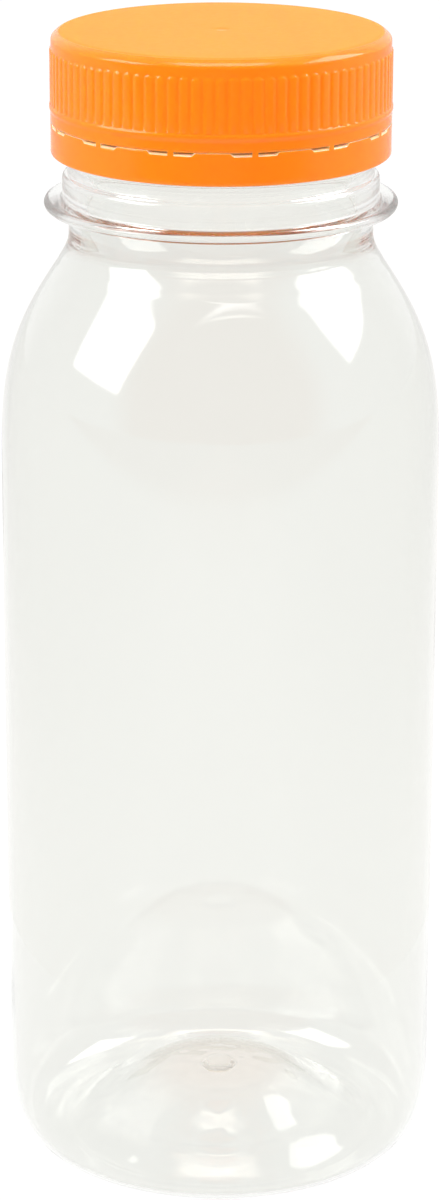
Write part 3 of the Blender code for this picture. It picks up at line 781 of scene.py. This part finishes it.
def add_dim_card():
    """A sheet on the floor that only reflections see, dimmer in front and at the sides."""
    sides = SHEET_SIDES
    faces = [(i, (i + 1) % sides, sides + (i + 1) % sides, sides + i) for i in range(sides)]
    mesh = bpy.data.meshes.new("dim_card")
    mesh.from_pydata(sheet_rim(CARD_OPENING) + sheet_rim(CARD_REACH), [], faces)
    card = bpy.data.objects.new("dim_card", mesh)
    card.location.z = CARD_HEIGHT
    made, tree = new_material("dim_card")
    glow = node(tree, "ShaderNodeEmission")
    split = node(tree, "ShaderNodeSeparateXYZ")
    tree.links.new(node(tree, "ShaderNodeTexCoord").outputs["Object"], split.inputs["Vector"])
    sideways = node(tree, "ShaderNodeMath", operation="ABSOLUTE")
    tree.links.new(split.outputs["X"], sideways.inputs[0])
    colour = node(tree, "ShaderNodeMix", data_type="RGBA")
    colour.inputs["A"].default_value = FRONT_COLOUR
    colour.inputs["B"].default_value = CARD_COLOUR
    nearness = fading(tree, split.outputs["Y"], CARD_FRONT_EDGE, CARD_FRONT_EDGE - CARD_FRONT_FADE, 0.0)
    tree.links.new(nearness, colour.inputs["Factor"])
    tree.links.new(colour.outputs["Result"], glow.inputs["Color"])
    side_end = CARD_SIDE_EDGE + CARD_SIDE_FADE
    side_level = fading(tree, sideways.outputs["Value"], CARD_SIDE_EDGE, side_end, SIDE_FLOOR)
    tree.links.new(side_level, glow.inputs["Strength"])
    output = node(tree, "ShaderNodeOutputMaterial")
    tree.links.new(glow.outputs["Emission"], output.inputs["Surface"])
    card.data.materials.append(made)
    card.visible_camera = False
    card.visible_transmission = False
    card.visible_shadow = False
    card.visible_diffuse = False
    bpy.context.scene.collection.objects.link(card)


def facing(tree, coordinates, direction, first, full):
    """How far a direction of view is inside a soft cone round a given direction, from 0 to 1."""
    product = node(tree, "ShaderNodeVectorMath", operation="DOT_PRODUCT")
    product.inputs[1].default_value = Vector(direction).normalized()
    tree.links.new(coordinates, product.inputs[0])
    made = node(tree, "ShaderNodeMapRange", interpolation_type="SMOOTHSTEP")
    made.inputs["From Min"].default_value = first
    made.inputs["From Max"].default_value = full
    tree.links.new(product.outputs["Value"], made.inputs["Value"])
    return made.outputs["Result"]


def add_room():
    """The room round the bottle: white behind it, pale at the sides and overhead, dim behind the camera."""
    world = bpy.data.worlds.new("room")
    world.use_nodes = True
    tree = world.node_tree
    tree.nodes.clear()
    place = node(tree, "ShaderNodeTexCoord").outputs["Generated"]
    behind = node(tree, "ShaderNodeMix", data_type="FLOAT")
    behind.inputs["A"].default_value = ROOM_AMBIENT
    behind.inputs["B"].default_value = BACK_AMBIENT
    tree.links.new(facing(tree, place, *BACK_CONE), behind.inputs["Factor"])
    colour = node(tree, "ShaderNodeMix", data_type="RGBA")
    tree.links.new(behind.outputs["Result"], colour.inputs["A"])
    colour.inputs["B"].default_value = FRONT_COLOUR
    tree.links.new(facing(tree, place, *FRONT_CONE), colour.inputs["Factor"])
    sky = node(tree, "ShaderNodeBackground")
    output = node(tree, "ShaderNodeOutputWorld")
    tree.links.new(colour.outputs["Result"], sky.inputs["Color"])
    tree.links.new(sky.outputs["Background"], output.inputs["Surface"])
    bpy.context.scene.world = world


def add_lights():
    """Two side softboxes that leave the shoulder's patches, a strip, a top light, a fill and a room."""
    add_softbox("left_softbox", (-72.4, 31.7, 0.7), (0.46, 0.44), LEFT_ROLL, 5.0, 0.1)
    add_softbox("right_softbox", (97, 40, 0.7), (0.54, 0.40), RIGHT_ROLL, 5.0, 0.1)
    add_softbox("front_strip", (9, 52.3, 0.8), (0.6, 0.024), 0, 3.8, 0.45)
    overhead = add_softbox("top_softbox", (0, 75, 0.9), (0.8, 0.5), 0, 4.6, 0.2)
    overhead.data.color = OVERHEAD_COLOUR
    fill = add_softbox("front_fill", (0, 20, 1.0), (1.2, 0.8), 0, 0.75, 0.2)
    fill.visible_glossy = False
    fill.visible_transmission = False
    add_dim_card()
    add_room()


def add_camera():
    """The camera, at the photograph's distance, height, pitch and slight roll."""
    lens = bpy.data.cameras.new("camera")
    lens.sensor_fit = "VERTICAL"
    lens.sensor_height = SENSOR
    lens.lens = SENSOR * FOCAL_PIXELS / PHOTO_HEIGHT
    camera = bpy.data.objects.new("camera", lens)
    back = CAMERA_DISTANCE * math.cos(CAMERA_PITCH)
    up = CAMERA_AIM_HEIGHT + CAMERA_DISTANCE * math.sin(CAMERA_PITCH)
    turn = Matrix.Rotation(math.pi / 2 - CAMERA_PITCH, 4, "X") @ Matrix.Rotation(CAMERA_ROLL, 4, "Z")
    camera.matrix_world = Matrix.Translation(Vector((0, -back, up)) * MM) @ turn
    bpy.context.scene.collection.objects.link(camera)
    bpy.context.scene.camera = camera


def set_rendering():
    """Plain colours, and enough bounces for light to cross every wall."""
    scene = bpy.context.scene
    scene.view_settings.view_transform = "Standard"
    scene.cycles.max_bounces = 64
    scene.cycles.transmission_bounces = 64
    scene.cycles.transparent_max_bounces = 16
    scene.cycles.glossy_bounces = 64


def dress(piece, cad_node, surface):
    """Puts a finished piece in place of its CAD node."""
    piece.data.materials.clear()
    piece.data.materials.append(surface)
    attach(piece, "root")
    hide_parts(cad_node)


dress(bottle_shell(), "bottle", clear_plastic())
dress(cap_shell(), "cap", orange_plastic())
add_floor()
add_lights()
add_camera()
set_rendering()
